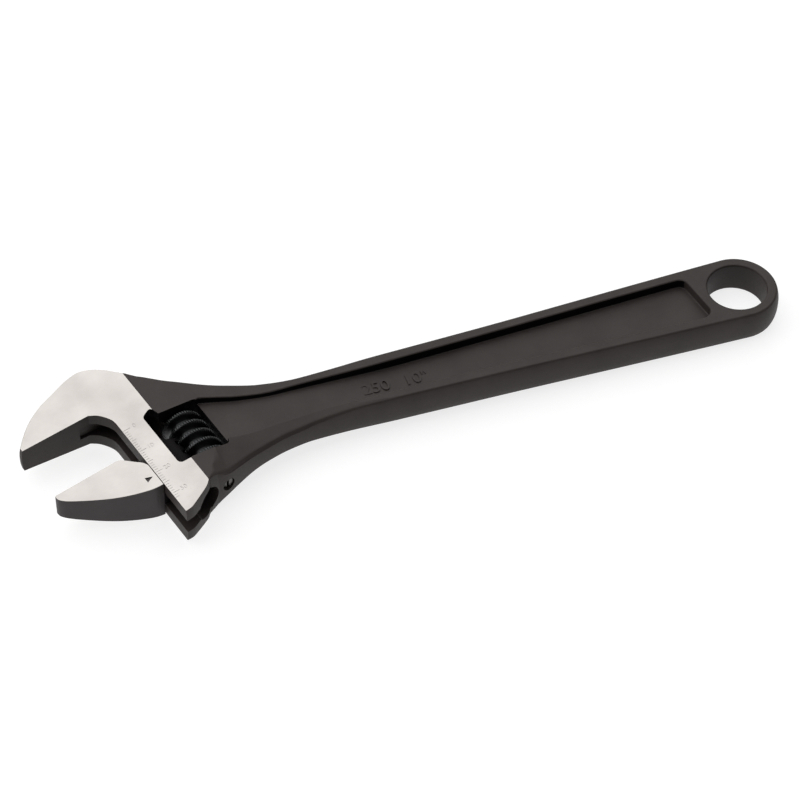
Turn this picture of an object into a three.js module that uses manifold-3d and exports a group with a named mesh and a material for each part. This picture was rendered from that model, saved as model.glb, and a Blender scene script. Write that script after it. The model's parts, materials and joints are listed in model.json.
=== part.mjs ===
// Adjustable wrench, 10 inch pattern, millimetres, +Z out of the face that carries the scale.
// The plan is drawn about the hanging hole: +X runs from the jaws to the hole.
import * as THREE from "three";
import { mergeVertices } from "three/addons/utils/BufferGeometryUtils.js";
import Module from "manifold-3d";

const wasm = await Module();
wasm.setup();

// Handle
const HANDLE_THICK = 11.2;
const HANDLE_BULGE = 1.0; // the forged side stands out this far at the parting line
const END_R = 13.15;
const HOLE_R = 9.9;
const HOLE_CHAMFER = 0.5;
const PARTING_FLAT = 1.0;
const WEB_HALF = 2.4; // half thickness of the handle between its two recesses
const RECESS_DRAFT = 0.6;
const NECK_RECESS_START = -118; // the recess floor rises from here to the window
const NECK_RECESS_END = -182;
const NECK_FLOOR_HALF = 4.7;

// Head frame: x = toward the jaw tips, y = along the rail (opening), z = up
const HEAD_TILT = THREE.MathUtils.degToRad(14.2);
const HEAD_X = -217.4; // inner end of the fixed jaw face
const HEAD_Y = 13.95;
const HEAD_BULGE = 0.7;
const HEAD_BLANK_HALF = 9.2;
const GROUND_EDGE = -17.1; // where the ground faces stop and the forged neck starts
const GROUND_HALF = 8.17; // half thickness at that edge
const GROUND_SLOPE = 0.0844;
const NECK_STEP = 0.25; // the forged neck stands this proud of the ground face
const NECK_RAMP = 0.5;
const NECK_SLOPE = 0.085;
const JAW_HALF_AT_EDGE = 8.77; // half thickness the movable jaw's planes would have at that edge
const JAW_SLOPE = 0.1153;

// The neck thins towards its lower edge: [x, y, half thickness] along that edge
const NECK_EDGE = [
  [-190.5, -25.2, 8.6], [-187, -22.9, 7.3], [-184, -21.6, 6.0], [-182, -20.6, 5.4],
  [-179.2, -19.0, 4.95], [-174.2, -16.3, 4.4], [-170, -14.5, 4.05], [-166.1, -13.1, 4.0],
  [-161.2, -11.65, 4.0], [-154.6, -10.4, 4.05], [-149.4, -9.75, 4.45], [-138, -9.2, 5.1],
  [-125, -9.5, 5.35], [-110, -9.85, 5.6], [-95, -10.25, 5.7],
];
const NECK_EDGE_SLOPE = 0.15; // rise of the thinned face, inwards from that edge
const NECK_EDGE_REACH = [-4, 4, 10, 16]; // stations across it

// Throat, slot and bore
const THROAT = -5.05;
const SLOT_HALF = 2.7;
const SLOT_TOP = -1.0;
const BAR_X = -15.35;
const BAR_R = 4.85;
const BORE_R = 5.1;
const BORE_TOP = -2.2;

// Window for the knurl
const WINDOW_LEFT = -13.0;
const WINDOW_RIGHT = -31.6;
const WINDOW_TOP = 12.5;
const WINDOW_BOTTOM = 33.5;
const WINDOW_CORNER = 1.6;

// Movable jaw
const OPENING = 20.9; // jaw opening in the rest pose
const JAW_GAP = 0.3;
const WEB_T_TOP = 1.2;
const WEB_T_BOTTOM = 16.6;
const BAR_T_TOP = -1.0;
const BAR_T_BOTTOM = 18.5;
const WEB_THICK = 5.0;

// Knurl (left-hand worm) and rack
const PITCH = 4.3;
const KNURL_X = -24.63;
const KNURL_R = 6.66;
const KNURL_ROOT = 4.1;
const KNURL_TOP = 12.9;
const KNURL_BOTTOM = 33.1;
const KNURL_BORE = 2.3;
const KNURL_PHASE = 14.84; // where a crest crosses the top of the knurl, measured along the rail
const CREST_WIDTH = 1.2;
const ROOT_WIDTH = 2.4;
const MESH_GAP = 0.2;
const RACK_FLOOR = -17.68;
const SPRING_POCKET_R = 3.4;
const SPRING_POCKET = 3.4;

// Pin and spring
const PIN_R = 2.0;
const PIN_HOLE = 2.25;
const PIN_TOP = 6.4;
const PIN_BOTTOM = 42.6;
const PIN_SLOT = 0.9;
const PIN_SLOT_DEPTH = 1.1;
const PIN_CHAMFER = 0.4;
const SPRING_R = 2.85;
const SPRING_WIRE = 0.27;
const SPRING_TURNS = 3.5;

const FAR = 80; // longer than any cut needs

const forged = new THREE.MeshStandardMaterial({ color: 0x3c3939, roughness: 0.6, metalness: 0.6 });
const ground = new THREE.MeshStandardMaterial({ color: 0x8d8b89, roughness: 0.4, metalness: 0.9 });
const blackened = new THREE.MeshStandardMaterial({ color: 0x2b2a2c, roughness: 0.5, metalness: 0.7 });
const bright = new THREE.MeshStandardMaterial({ color: 0xa9a6a2, roughness: 0.35, metalness: 0.9 });
const wire = new THREE.MeshStandardMaterial({ color: 0x6f7074, roughness: 0.3, metalness: 1.0 });

const headFrame = new THREE.Matrix4()
  .makeRotationZ(Math.PI + HEAD_TILT)
  .setPosition(HEAD_X, HEAD_Y, 0);

function solid(geometry, matrix) {
  const plain = new THREE.BufferGeometry();
  const source = geometry.index ? geometry.toNonIndexed() : geometry;
  plain.setAttribute("position", source.getAttribute("position").clone());
  if (matrix) plain.applyMatrix4(matrix);
  const merged = mergeVertices(plain, 1e-3);
  const triVerts = new Uint32Array(merged.index.array);
  if (matrix && matrix.determinant() < 0) triVerts.reverse();
  return new wasm.Manifold(
    new wasm.Mesh({
      numProp: 3,
      vertProperties: new Float32Array(merged.attributes.position.array),
      triVerts,
    }),
  );
}

function meshOf(name, body, material) {
  const data = body.getMesh();
  const geometry = new THREE.BufferGeometry();
  geometry.setAttribute("position", new THREE.BufferAttribute(data.vertProperties, 3));
  geometry.setIndex(new THREE.BufferAttribute(data.triVerts, 1));
  geometry.computeVertexNormals();
  const mesh = new THREE.Mesh(geometry, material);
  mesh.name = name;
  return mesh;
}

function headPoint(a, s) {
  const p = new THREE.Vector3(a, s, 0).applyMatrix4(headFrame);
  return new THREE.Vector2(p.x, p.y);
}

function points(list) {
  return list.map(([x, y]) => new THREE.Vector2(x, y));
}

// A plan outline made of runs of points: each run is one smooth curve, or a straight line of two points.
function smoothShape(runs, perPoint = 3) {
  const outline = runs.flatMap((run) =>
    run.length === 2 ? run : new THREE.SplineCurve(run).getPoints(perPoint * (run.length - 1)),
  );
  const last = outline.length - 1;
  return new THREE.Shape(
    outline.filter((p, i) => p.distanceTo(outline[i === last ? 0 : i + 1]) > 0.02),
  );
}

function arc(x, y, r, from, to, steps) {
  return new THREE.EllipseCurve(x, y, r, r, from, to).getPoints(steps);
}

// Forged blank: full outline at the faces, standing out by the bulge at the parting line.
function forging(shape, half, bulge) {
  const bevelThickness = half - PARTING_FLAT / 2;
  return new THREE.ExtrudeGeometry(shape, {
    depth: PARTING_FLAT,
    bevelThickness,
    bevelSize: bulge,
    bevelSegments: 3,
  }).translate(0, 0, -PARTING_FLAT / 2);
}

function prism(shape, bottom, top) {
  return new THREE.ExtrudeGeometry(shape, { depth: top - bottom, bevelEnabled: false })
    .translate(0, 0, bottom);
}

// A block that keeps the space between two planes mirrored about z = 0; edge is [[x, half], ...].
function wedge(edge) {
  const up = edge.map(([x, half]) => [x, half]);
  const down = edge.map(([x, half]) => [x, -half]).reverse();
  const shape = new THREE.Shape(points([...up, ...down]));
  return new THREE.ExtrudeGeometry(shape, { depth: 2 * FAR, bevelEnabled: false })
    .rotateX(Math.PI / 2)
    .translate(0, FAR + 20, 0);
}

function rounded(x0, y0, x1, y1, r) {
  const quarter = Math.PI / 2;
  return new THREE.Shape([
    ...arc(x1 - r, y0 + r, r, -quarter, 0, 4),
    ...arc(x1 - r, y1 - r, r, 0, quarter, 4),
    ...arc(x0 + r, y1 - r, r, quarter, 2 * quarter, 4),
    ...arc(x0 + r, y0 + r, r, 2 * quarter, 3 * quarter, 4),
  ]);
}

// A round bar along the rail between two stations, about the given head-frame x.
function along(x, r, from, to, segments = 32) {
  return new THREE.CylinderGeometry(r, r, to - from, segments).translate(x, (from + to) / 2, 0);
}

function turned(x, profile, segments = 32) {
  return new THREE.LatheGeometry(points(profile), segments).translate(x, 0, 0);
}

function box(x0, x1, y0, y1, z0, z1) {
  return new THREE.BoxGeometry(x1 - x0, y1 - y0, z1 - z0)
    .translate((x0 + x1) / 2, (y0 + y1) / 2, (z0 + z1) / 2);
}

// ---- body: handle, neck and fixed jaw, one forging -------------------------------------------

const upperEdge = points([
  [0, END_R], [-20, 12.6], [-50, 11.65], [-80, 10.65], [-105, 10.1], [-125, 9.7], [-138, 9.1],
  [-150, 8.75], [-156.5, 9.15], [-161.5, 9.9],
]);
const lowerEdge = points([
  [-161.5, -11.0], [-154.6, -9.9], [-149.4, -9.4], [-138, -9.0], [-125, -9.45], [-105, -10.0],
  [-80, -10.65], [-50, -11.65], [-20, -12.6], [0, -END_R],
]);

const handleShape = smoothShape([
  arc(0, 0, END_R, -Math.PI / 2, Math.PI / 2, 12),
  upperEdge,
  lowerEdge,
]);

const fixedBack = [
  [24.3, -1.3], [22, -4], [19.3, -6.8], [16, -9.5], [10.8, -12.5], [5.4, -14.5], [0, -16.5], [-5, -17.45],
  [-8.4, -16.5], [-11.2, -14.8], [-13.6, -12.6], [-15.9, -10], [-20.2, -5.2],
].map(([a, s]) => headPoint(a, s));
const neckTop = points([
  [-196.9, 22.9], [-191.8, 20.1], [-186.8, 17.9], [-181.7, 15.6], [-176.7, 13.7], [-171.6, 12.2],
  [-166.6, 10.9], [-161.5, 9.9], [-156.5, 9.0], [-151, 7.6],
]);
const neckBottom = points([
  [-151, -8.9], [-154.6, -9.7], [-161.2, -10.9], [-166.1, -12.4], [-170, -13.8], [-174.2, -15.6],
  [-179.2, -18.3], [-182, -19.9], [-184, -21.0],
]);
const lowerEnd = [
  [-20.6, 42.9], [-17.2, 44.2], [-15.1, 46.0], [-10.1, 48.8], [-7.4, 50.1], [-5, 50.4],
].map(([a, s]) => headPoint(a, s));

const headShape = smoothShape([
  [headPoint(24.3, 8), fixedBack[0]],
  [...fixedBack, ...neckTop],
  [new THREE.Vector2(-146, 5), new THREE.Vector2(-146, -6.5)],
  [...neckBottom, ...lowerEnd],
  [headPoint(4, 50.4), headPoint(24.3, 8)],
]);

const gapShape = smoothShape([
  [new THREE.Vector2(0.6, 0), new THREE.Vector2(FAR, 0)],
  [new THREE.Vector2(FAR, FAR), new THREE.Vector2(THROAT, FAR)],
  points([[THROAT, 8], [-4.7, 6.1], [-3.6, 3.9], [-1.8, 1.6], [0.6, 0]]),
]);

function recessShape() {
  return smoothShape([
    arc(-17.25, -5.6, 3.3, -Math.PI / 2, -0.12, 5),
    arc(-18.9, 6.0, 2.75, 0.12, Math.PI / 2, 5),
    points([[-20.5, 8.75], [-40, 8.35], [-60, 7.7], [-101, 6.5], [-122, 5.95]]),
    points([[-122, -6.1], [-101, -6.4], [-60, -7.5], [-40, -8.1], [-19, -8.88]]),
  ]);
}

function neckRecessShape() {
  return smoothShape([
    points([[-116, 6.05], [-130, 5.8], [-151, 5.7], [-161, 5.6], [-171, 6.6], [-177, 7.9], [-183, 9.2]]),
    points([[-189, 6.5], [-186, -9.0]]),
    points([[-178.6, -9.0], [-172, -8.6], [-161, -7.2], [-151, -6.5], [-130, -6.2], [-116, -6.15]]),
  ]);
}

// A block whose underside is the neck's thinned upper face.
function neckThinning() {
  const across = NECK_EDGE_REACH.length;
  const position = [];
  [0, 1].forEach((top) => {
    NECK_EDGE.forEach(([x, y, half]) => {
      NECK_EDGE_REACH.forEach((v) => {
        position.push(x, y + v, top ? 2 * HANDLE_THICK : half + NECK_EDGE_SLOPE * v);
      });
    });
  });
  const layer = NECK_EDGE.length * across;
  const index = [];
  function quad(a, b, c, d) {
    index.push(a, b, c, a, c, d);
  }
  for (let i = 0; i < NECK_EDGE.length - 1; i++) {
    for (let j = 0; j < across - 1; j++) {
      const k = i * across + j;
      quad(k, k + 1, k + across + 1, k + across);
      quad(layer + k, layer + k + across, layer + k + across + 1, layer + k + 1);
    }
    const near = i * across;
    const far = near + across - 1;
    quad(near, near + across, layer + near + across, layer + near);
    quad(far, layer + far, layer + far + across, far + across);
  }
  for (let j = 0; j < across - 1; j++) {
    const end = layer - across + j;
    quad(j, layer + j, layer + j + 1, j + 1);
    quad(end, end + 1, layer + end + 1, layer + end);
  }
  const geometry = new THREE.BufferGeometry();
  geometry.setAttribute("position", new THREE.Float32BufferAttribute(position, 3));
  geometry.setIndex(index);
  return geometry;
}

// The recess cutter of the upper face, or of the lower one when it is mirrored.
function recess(side) {
  const depth = HANDLE_THICK;
  const flat = new THREE.ExtrudeGeometry(recessShape(), {
    depth,
    bevelThickness: RECESS_DRAFT,
    bevelSize: RECESS_DRAFT,
    bevelOffset: -RECESS_DRAFT,
    bevelSegments: 2,
  }).translate(0, 0, WEB_HALF + RECESS_DRAFT);
  const rise = (NECK_FLOOR_HALF - WEB_HALF) / (NECK_RECESS_START - NECK_RECESS_END);
  const neck = new THREE.ExtrudeGeometry(neckRecessShape(), {
    depth,
    bevelThickness: RECESS_DRAFT,
    bevelSize: RECESS_DRAFT,
    bevelOffset: -RECESS_DRAFT,
    bevelSegments: 2,
  })
    .translate(-NECK_RECESS_START, 0, RECESS_DRAFT)
    .applyMatrix4(new THREE.Matrix4().makeShear(0, -rise, 0, 0, 0, 0))
    .translate(NECK_RECESS_START, 0, WEB_HALF);
  const facing = new THREE.Matrix4().makeScale(1, 1, side);
  return solid(flat, facing).add(solid(neck, facing));
}

const handle = solid(forging(handleShape, HANDLE_THICK / 2, HANDLE_BULGE));
const head = solid(forging(headShape, HEAD_BLANK_HALF, HEAD_BULGE)).intersect(
  solid(
    wedge([
      [40, GROUND_HALF - GROUND_SLOPE * (40 - GROUND_EDGE)],
      [GROUND_EDGE, GROUND_HALF],
      [GROUND_EDGE - NECK_RAMP, GROUND_HALF + NECK_STEP],
      [-FAR, GROUND_HALF + NECK_STEP + NECK_SLOPE * (-FAR - GROUND_EDGE + NECK_RAMP)],
    ]),
    headFrame,
  ),
);
const holeHalf = HANDLE_THICK / 2;
const hangingHole = new THREE.LatheGeometry(
  points([
    [0, -holeHalf - 1], [HOLE_R + HOLE_CHAMFER + 1, -holeHalf - 1], [HOLE_R, -holeHalf + HOLE_CHAMFER],
    [HOLE_R, holeHalf - HOLE_CHAMFER], [HOLE_R + HOLE_CHAMFER + 1, holeHalf + 1], [0, holeHalf + 1],
  ]),
  56,
).rotateX(Math.PI / 2);

const windowShape = rounded(WINDOW_RIGHT, WINDOW_TOP, WINDOW_LEFT, WINDOW_BOTTOM, WINDOW_CORNER);
const bore = turned(
  BAR_X,
  [[0, BORE_TOP - 1.2], [BORE_R - 1.6, BORE_TOP], [BORE_R, BORE_TOP + 1.4], [BORE_R, FAR], [0, FAR]],
  40,
);
const pinHole = turned(KNURL_X, [
  [0, PIN_TOP - 0.4], [PIN_HOLE, PIN_TOP - 0.4], [PIN_HOLE, FAR], [0, FAR],
]);

// The relief at the window's upper corner.
const windowNotch = smoothShape([
  points([
    [-13, 14], [-13.05, 11.5], [-13.7, 10.5], [-15, 9.7], [-16.3, 9.2], [-17.0, 9.7], [-17.4, 11],
    [-17.9, 12.8], [-18.6, 14],
  ]),
]);
const thinning = neckThinning();

const bodySolid = handle
  .add(head)
  .subtract(solid(thinning))
  .subtract(solid(thinning, new THREE.Matrix4().makeScale(1, 1, -1)))
  .subtract(recess(1))
  .subtract(recess(-1))
  .subtract(solid(hangingHole))
  .subtract(solid(prism(gapShape, -FAR, FAR), headFrame))
  .subtract(solid(box(BAR_X, 4, SLOT_TOP, FAR, -SLOT_HALF, SLOT_HALF), headFrame))
  .subtract(solid(bore, headFrame))
  .subtract(solid(prism(windowShape, -FAR, FAR), headFrame))
  .subtract(solid(prism(windowNotch, -FAR, FAR), headFrame))
  .subtract(solid(pinHole, headFrame));

// ---- movable jaw: jaw, web and toothed bar, one piece ----------------------------------------

const jawShape = smoothShape([
  points([[2.6, 0], [24.1, 0]]),
  points([[24.5, 0.3], [24.3, 1.8], [23.1, 3.4], [20.5, 5.5], [16.4, 8.3], [12.3, 10.85], [8.2, 13.0],
    [4.0, 14.75], [0, 16.05], [-2.2, 16.5]]),
  points([[-3.4, 16.6], [THROAT + JAW_GAP, 16.6]]),
  points([[THROAT + JAW_GAP, 7.6], [-4.0, 5.8], [-2.0, 3.7], [-0.1, 1.7], [1.2, 0.5], [2.6, 0]]),
]);

const jawWedge = wedge([
  [40, JAW_HALF_AT_EDGE - JAW_SLOPE * (40 - GROUND_EDGE)],
  [-40, JAW_HALF_AT_EDGE - JAW_SLOPE * (-40 - GROUND_EDGE)],
]);
const bar = turned(
  BAR_X,
  [[0, BAR_T_TOP], [BAR_R - 0.6, BAR_T_TOP], [BAR_R, BAR_T_TOP + 0.6], [BAR_R, BAR_T_BOTTOM - 0.6],
    [BAR_R - 0.6, BAR_T_BOTTOM], [0, BAR_T_BOTTOM]],
  40,
);

// One rack groove, slanted to the lead of the worm, centred on y = 0 at the middle of the bar.
function rackGroove() {
  const tip = BAR_X - BAR_R - 1;
  const flank = (ROOT_WIDTH - CREST_WIDTH) / 2 / (KNURL_R - KNURL_ROOT);
  const floorHalf = CREST_WIDTH / 2 + MESH_GAP;
  const tipHalf = floorHalf + flank * (RACK_FLOOR - tip);
  const shape = new THREE.Shape(
    points([[RACK_FLOOR, -floorHalf], [RACK_FLOOR, floorHalf], [tip, tipHalf], [tip, -tipHalf]]),
  );
  const lead = PITCH / (2 * Math.PI * (KNURL_R - 0.9));
  return new THREE.ExtrudeGeometry(shape, { depth: 4 * BAR_R, bevelEnabled: false })
    .translate(0, 0, -2 * BAR_R)
    .applyMatrix4(new THREE.Matrix4().makeShear(0, 0, 0, 0, 0, lead));
}

const firstGroove = KNURL_PHASE - PITCH / 4 - OPENING;
let jawSolid = solid(prism(jawShape, -12, 12))
  .intersect(solid(jawWedge))
  .add(solid(box(BAR_X, -2.5, WEB_T_TOP, WEB_T_BOTTOM, -WEB_THICK / 2, WEB_THICK / 2)))
  .add(solid(bar));
const grooves = Math.ceil((BAR_T_BOTTOM - firstGroove) / PITCH) + 1;
for (let i = 0; i <= grooves; i++) {
  jawSolid = jawSolid.subtract(solid(rackGroove().translate(0, firstGroove + i * PITCH, 0)));
}

// ---- knurl: left-hand worm on a bored core ---------------------------------------------------

// The thread's section is extruded straight, then wound round the axis.
function thread() {
  const perTurn = 32;
  const turns = Math.ceil((KNURL_BOTTOM - KNURL_TOP) / PITCH) + 2;
  const shape = new THREE.Shape(
    points([
      [KNURL_ROOT - 0.4, -ROOT_WIDTH / 2], [KNURL_ROOT, -ROOT_WIDTH / 2], [KNURL_R - 0.3, -CREST_WIDTH / 2],
      [KNURL_R, -CREST_WIDTH / 2 + 0.3], [KNURL_R, CREST_WIDTH / 2 - 0.3], [KNURL_R - 0.3, CREST_WIDTH / 2],
      [KNURL_ROOT, ROOT_WIDTH / 2], [KNURL_ROOT - 0.4, ROOT_WIDTH / 2],
    ]),
  );
  const geometry = new THREE.ExtrudeGeometry(shape, {
    depth: turns,
    steps: turns * perTurn,
    bevelEnabled: false,
  });
  const place = geometry.getAttribute("position");
  const start = KNURL_PHASE - PITCH * 1.25;
  for (let i = 0; i < place.count; i++) {
    const turn = place.getZ(i);
    const angle = turn * 2 * Math.PI;
    const r = place.getX(i);
    place.setXYZ(i, r * Math.cos(angle), start - PITCH + place.getY(i) + turn * PITCH, r * Math.sin(angle));
  }
  return geometry.translate(KNURL_X, 0, 0);
}

const knurlEnvelope = turned(
  KNURL_X,
  [
    [0, KNURL_TOP], [KNURL_R - 0.9, KNURL_TOP], [KNURL_R + 0.1, KNURL_TOP + 0.7],
    [KNURL_R + 0.1, KNURL_BOTTOM - 0.7], [KNURL_R - 0.9, KNURL_BOTTOM], [0, KNURL_BOTTOM],
  ],
  48,
);
const knurlSolid = solid(thread())
  .add(solid(along(KNURL_X, KNURL_ROOT, KNURL_TOP, KNURL_BOTTOM, 32)))
  .intersect(solid(knurlEnvelope))
  .subtract(solid(along(KNURL_X, KNURL_BORE, 0, FAR)))
  .subtract(solid(along(KNURL_X, SPRING_POCKET_R, KNURL_BOTTOM - SPRING_POCKET, FAR)));

// ---- pin and spring --------------------------------------------------------------------------

const pinSolid = solid(
  turned(KNURL_X, [
    [0, PIN_TOP], [PIN_R - PIN_CHAMFER, PIN_TOP], [PIN_R, PIN_TOP + PIN_CHAMFER],
    [PIN_R, PIN_BOTTOM - PIN_CHAMFER], [PIN_R - PIN_CHAMFER, PIN_BOTTOM], [0, PIN_BOTTOM],
  ]),
).subtract(
  solid(
    box(
      KNURL_X - PIN_SLOT / 2, KNURL_X + PIN_SLOT / 2, PIN_BOTTOM - PIN_SLOT_DEPTH, PIN_BOTTOM + 1, -4, 4,
    ),
  ),
);

class Coil extends THREE.Curve {
  getPoint(t, target = new THREE.Vector3()) {
    const angle = t * SPRING_TURNS * 2 * Math.PI;
    const from = KNURL_BOTTOM - SPRING_POCKET + SPRING_WIRE + 0.1;
    const to = WINDOW_BOTTOM - SPRING_WIRE - 0.1;
    return target.set(SPRING_R * Math.cos(angle), from + t * (to - from), SPRING_R * Math.sin(angle));
  }
}

// A closed round wire: the tube's two open ends get flat caps by winding its ends to a point.
function coilWire() {
  const around = 8;
  const lengths = 84;
  const geometry = new THREE.TubeGeometry(new Coil(), lengths, SPRING_WIRE, around, false);
  const place = geometry.getAttribute("position");
  const path = geometry.parameters.path;
  [0, lengths].forEach((ring) => {
    const end = path.getPointAt(ring / lengths);
    for (let j = 0; j <= around; j++) {
      place.setXYZ(ring * (around + 1) + j, end.x, end.y, end.z);
    }
  });
  return geometry.translate(KNURL_X, 0, 0);
}

// ---- assembly --------------------------------------------------------------------------------

const group = new THREE.Group();
group.name = "adjustable_wrench";
group.add(meshOf("body", bodySolid, forged));

const headGroup = new THREE.Group();
headGroup.name = "head_parts";
headGroup.applyMatrix4(headFrame);
const jaw = meshOf("movable_jaw", jawSolid, ground);
jaw.position.y = OPENING;
headGroup.add(jaw);
headGroup.add(meshOf("knurl", knurlSolid, blackened));
headGroup.add(meshOf("knurl_pin", pinSolid, bright));
headGroup.add(meshOf("knurl_spring", solid(coilWire()), wire));
group.add(headGroup);

// The part's origin is the middle of its footprint, on the ground.
group.updateMatrixWorld(true);
const bounds = new THREE.Box3().setFromObject(group, true);
const centre = bounds.getCenter(new THREE.Vector3());
group.position.set(-centre.x, -centre.y, -bounds.min.z);

export default group;
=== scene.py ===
# Adjustable wrench: the visual model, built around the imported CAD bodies.
# The tool's sizes are in millimetres, those of the floor and the lights in metres.
import bpy
import bmesh
import json
import math
from mathutils import Matrix, Vector


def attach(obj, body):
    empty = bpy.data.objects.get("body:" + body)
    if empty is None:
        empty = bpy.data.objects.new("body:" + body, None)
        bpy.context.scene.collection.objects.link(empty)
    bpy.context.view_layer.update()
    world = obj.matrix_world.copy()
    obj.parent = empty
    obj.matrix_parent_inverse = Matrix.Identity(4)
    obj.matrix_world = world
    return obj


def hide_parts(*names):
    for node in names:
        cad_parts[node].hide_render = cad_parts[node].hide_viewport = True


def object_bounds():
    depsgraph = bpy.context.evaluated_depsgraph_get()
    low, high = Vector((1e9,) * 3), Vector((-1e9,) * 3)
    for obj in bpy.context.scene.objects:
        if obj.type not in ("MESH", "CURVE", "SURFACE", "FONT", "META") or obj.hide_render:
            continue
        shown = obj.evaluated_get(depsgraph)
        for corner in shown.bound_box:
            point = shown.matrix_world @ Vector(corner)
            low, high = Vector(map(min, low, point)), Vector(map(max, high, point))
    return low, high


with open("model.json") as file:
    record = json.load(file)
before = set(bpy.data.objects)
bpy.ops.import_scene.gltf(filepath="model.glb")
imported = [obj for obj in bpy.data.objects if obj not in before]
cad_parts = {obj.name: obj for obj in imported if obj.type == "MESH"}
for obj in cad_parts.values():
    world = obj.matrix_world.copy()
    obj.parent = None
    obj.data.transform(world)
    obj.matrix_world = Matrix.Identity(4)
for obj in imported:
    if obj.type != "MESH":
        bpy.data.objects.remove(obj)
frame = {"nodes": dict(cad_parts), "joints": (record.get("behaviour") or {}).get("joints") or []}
CAD_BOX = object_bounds()
MM = 0.001

# ---- frames --------------------------------------------------------------------------------------
# The handle frame has its origin at the hanging hole, the head frame at the root of the fixed jaw's face.

JOINTS = {j["name"]: j for j in frame["joints"]}
KNURL_A = -24.63      # the knurl's axis in the head frame
KNURL_MID = 23.0      # where along the rail the record's joint position lies
RAIL = Vector(JOINTS["knurl_spin"]["axis"]).normalized()
UP = Vector((0, 0, 1))
TIPS = RAIL.cross(UP)
KNURL_POS = Vector(JOINTS["knurl_spin"]["pos_m"])
HEAD_ORIGIN = KNURL_POS - KNURL_A * MM * TIPS - KNURL_MID * MM * RAIL
HEAD_AT = Vector((-217.4, 13.95, 0))   # the head frame's origin, seen from the hanging hole
HOLE_ORIGIN = HEAD_ORIGIN - HEAD_AT * MM
TURN = Matrix((TIPS, RAIL, UP)).transposed()
HEAD = Matrix.Translation(HEAD_ORIGIN) @ TURN.to_4x4() @ Matrix.Scale(MM, 4)
HANDLE = Matrix.Translation(HOLE_ORIGIN) @ Matrix.Scale(MM, 4)
HEAD_IN_HANDLE = HANDLE.inverted() @ HEAD

# ---- sizes ---------------------------------------------------------------------------------------

HANDLE_HALF = 5.6
END_R = 13.15
HOLE_R = 9.9
GROUND_EDGE = -17.1   # where the ground faces stop and the forged neck starts
GROUND_HALF = 8.17
GROUND_SLOPE = 0.0844
NECK_STEP, NECK_RAMP = 0.25, 0.5
NECK_SLOPE = 0.085
NECK_END = GROUND_EDGE - NECK_RAMP - (GROUND_HALF + NECK_STEP - HANDLE_HALF) / NECK_SLOPE
JAW_HALF_AT_EDGE = 8.77
JAW_SLOPE = 0.1153
THROAT = -5.05
SLOT_HALF, SLOT_TOP = 2.7, -1
BAR_A, BAR_R = -15.35, 4.85
BAR_TOP, BAR_BOTTOM = -1, 18.5
BORE_R, BORE_TOP = 5.1, -2.2
WEB_HALF_THICK = 2.5  # the plate that joins the movable jaw to its bar
WEB_TOP, WEB_BOTTOM = 1.2, 16.6
JAW_GAP = 0.3
OPENING = 20.9
PITCH = 4.3
CREST_WIDTH, ROOT_WIDTH = 1.2, 2.4
MESH_GAP = 0.2
RACK_FLOOR = -17.68
KNURL_R, KNURL_ROOT = 6.66, 4.1
KNURL_TOP, KNURL_BOTTOM = 12.9, 33.1
KNURL_PHASE = 14.84
WINDOW = (-31.6, 12.5, -13.0, 33.5)
WINDOW_CORNER = 1.6
FLOOR_HALF = 2.4      # half thickness of the handle between its two recesses
PIN_HOLE_R, PIN_HOLE_TOP = 2.25, 6.0
THROUGH = 20          # beyond both faces, for cuts that go right through
FAR = 80              # beyond the head along the rail and past the tips


def half_thickness(a):
    """Half the body's thickness at a distance a from the jaw root towards the tips."""
    if a > GROUND_EDGE:
        return GROUND_HALF - GROUND_SLOPE * (a - GROUND_EDGE)
    if a > GROUND_EDGE - NECK_RAMP:
        return GROUND_HALF + NECK_STEP * (GROUND_EDGE - a) / NECK_RAMP
    slope = NECK_SLOPE * (a - GROUND_EDGE + NECK_RAMP)
    return max(HANDLE_HALF, GROUND_HALF + NECK_STEP + slope)


def jaw_half_thickness(a):
    return JAW_HALF_AT_EDGE - JAW_SLOPE * (a - GROUND_EDGE)


# ---- curves and meshes ---------------------------------------------------------------------------


def spline(points, steps):
    """A smooth curve through the points, the same kind as the CAD's."""
    out = []
    n = len(points)
    for i in range(n - 1):
        p = [Vector(points[min(max(k, 0), n - 1)]) for k in (i - 1, i, i + 1, i + 2)]
        m0, m1 = (p[2] - p[0]) / 2, (p[3] - p[1]) / 2
        for k in range(steps):
            t = k / steps
            out.append(
                (2 * t**3 - 3 * t**2 + 1) * p[1]
                + (t**3 - 2 * t**2 + t) * m0
                + (3 * t**2 - 2 * t**3) * p[2]
                + (t**3 - t**2) * m1
            )
    out.append(Vector(points[-1]))
    return out


def closed(*runs):
    """One closed outline from several runs, with repeated points dropped, counterclockwise."""
    flat = [Vector(p) for run in runs for p in run]
    kept = [p for i, p in enumerate(flat) if (p - flat[i - 1]).length > 0.02]
    area = sum(kept[i - 1].x * p.y - p.x * kept[i - 1].y for i, p in enumerate(kept))
    return kept if area > 0 else kept[::-1]


def arc(cx, cy, r, start, end, steps):
    angles = [math.radians(start + (end - start) * k / steps) for k in range(steps + 1)]
    return [Vector((cx + r * math.cos(t), cy + r * math.sin(t))) for t in angles]


def normals(outline):
    """The outward direction at each point of a counterclockwise outline, longer at sharp corners."""
    out = []
    n = len(outline)
    for i, p in enumerate(outline):
        before = (p - outline[i - 1]).normalized()
        after = (outline[(i + 1) % n] - p).normalized()
        side = Vector((before.y, -before.x)) + Vector((after.y, -after.x))
        side.normalize()
        out.append(side / max(0.5, side.dot(Vector((after.y, -after.x)))))
    return out


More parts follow.
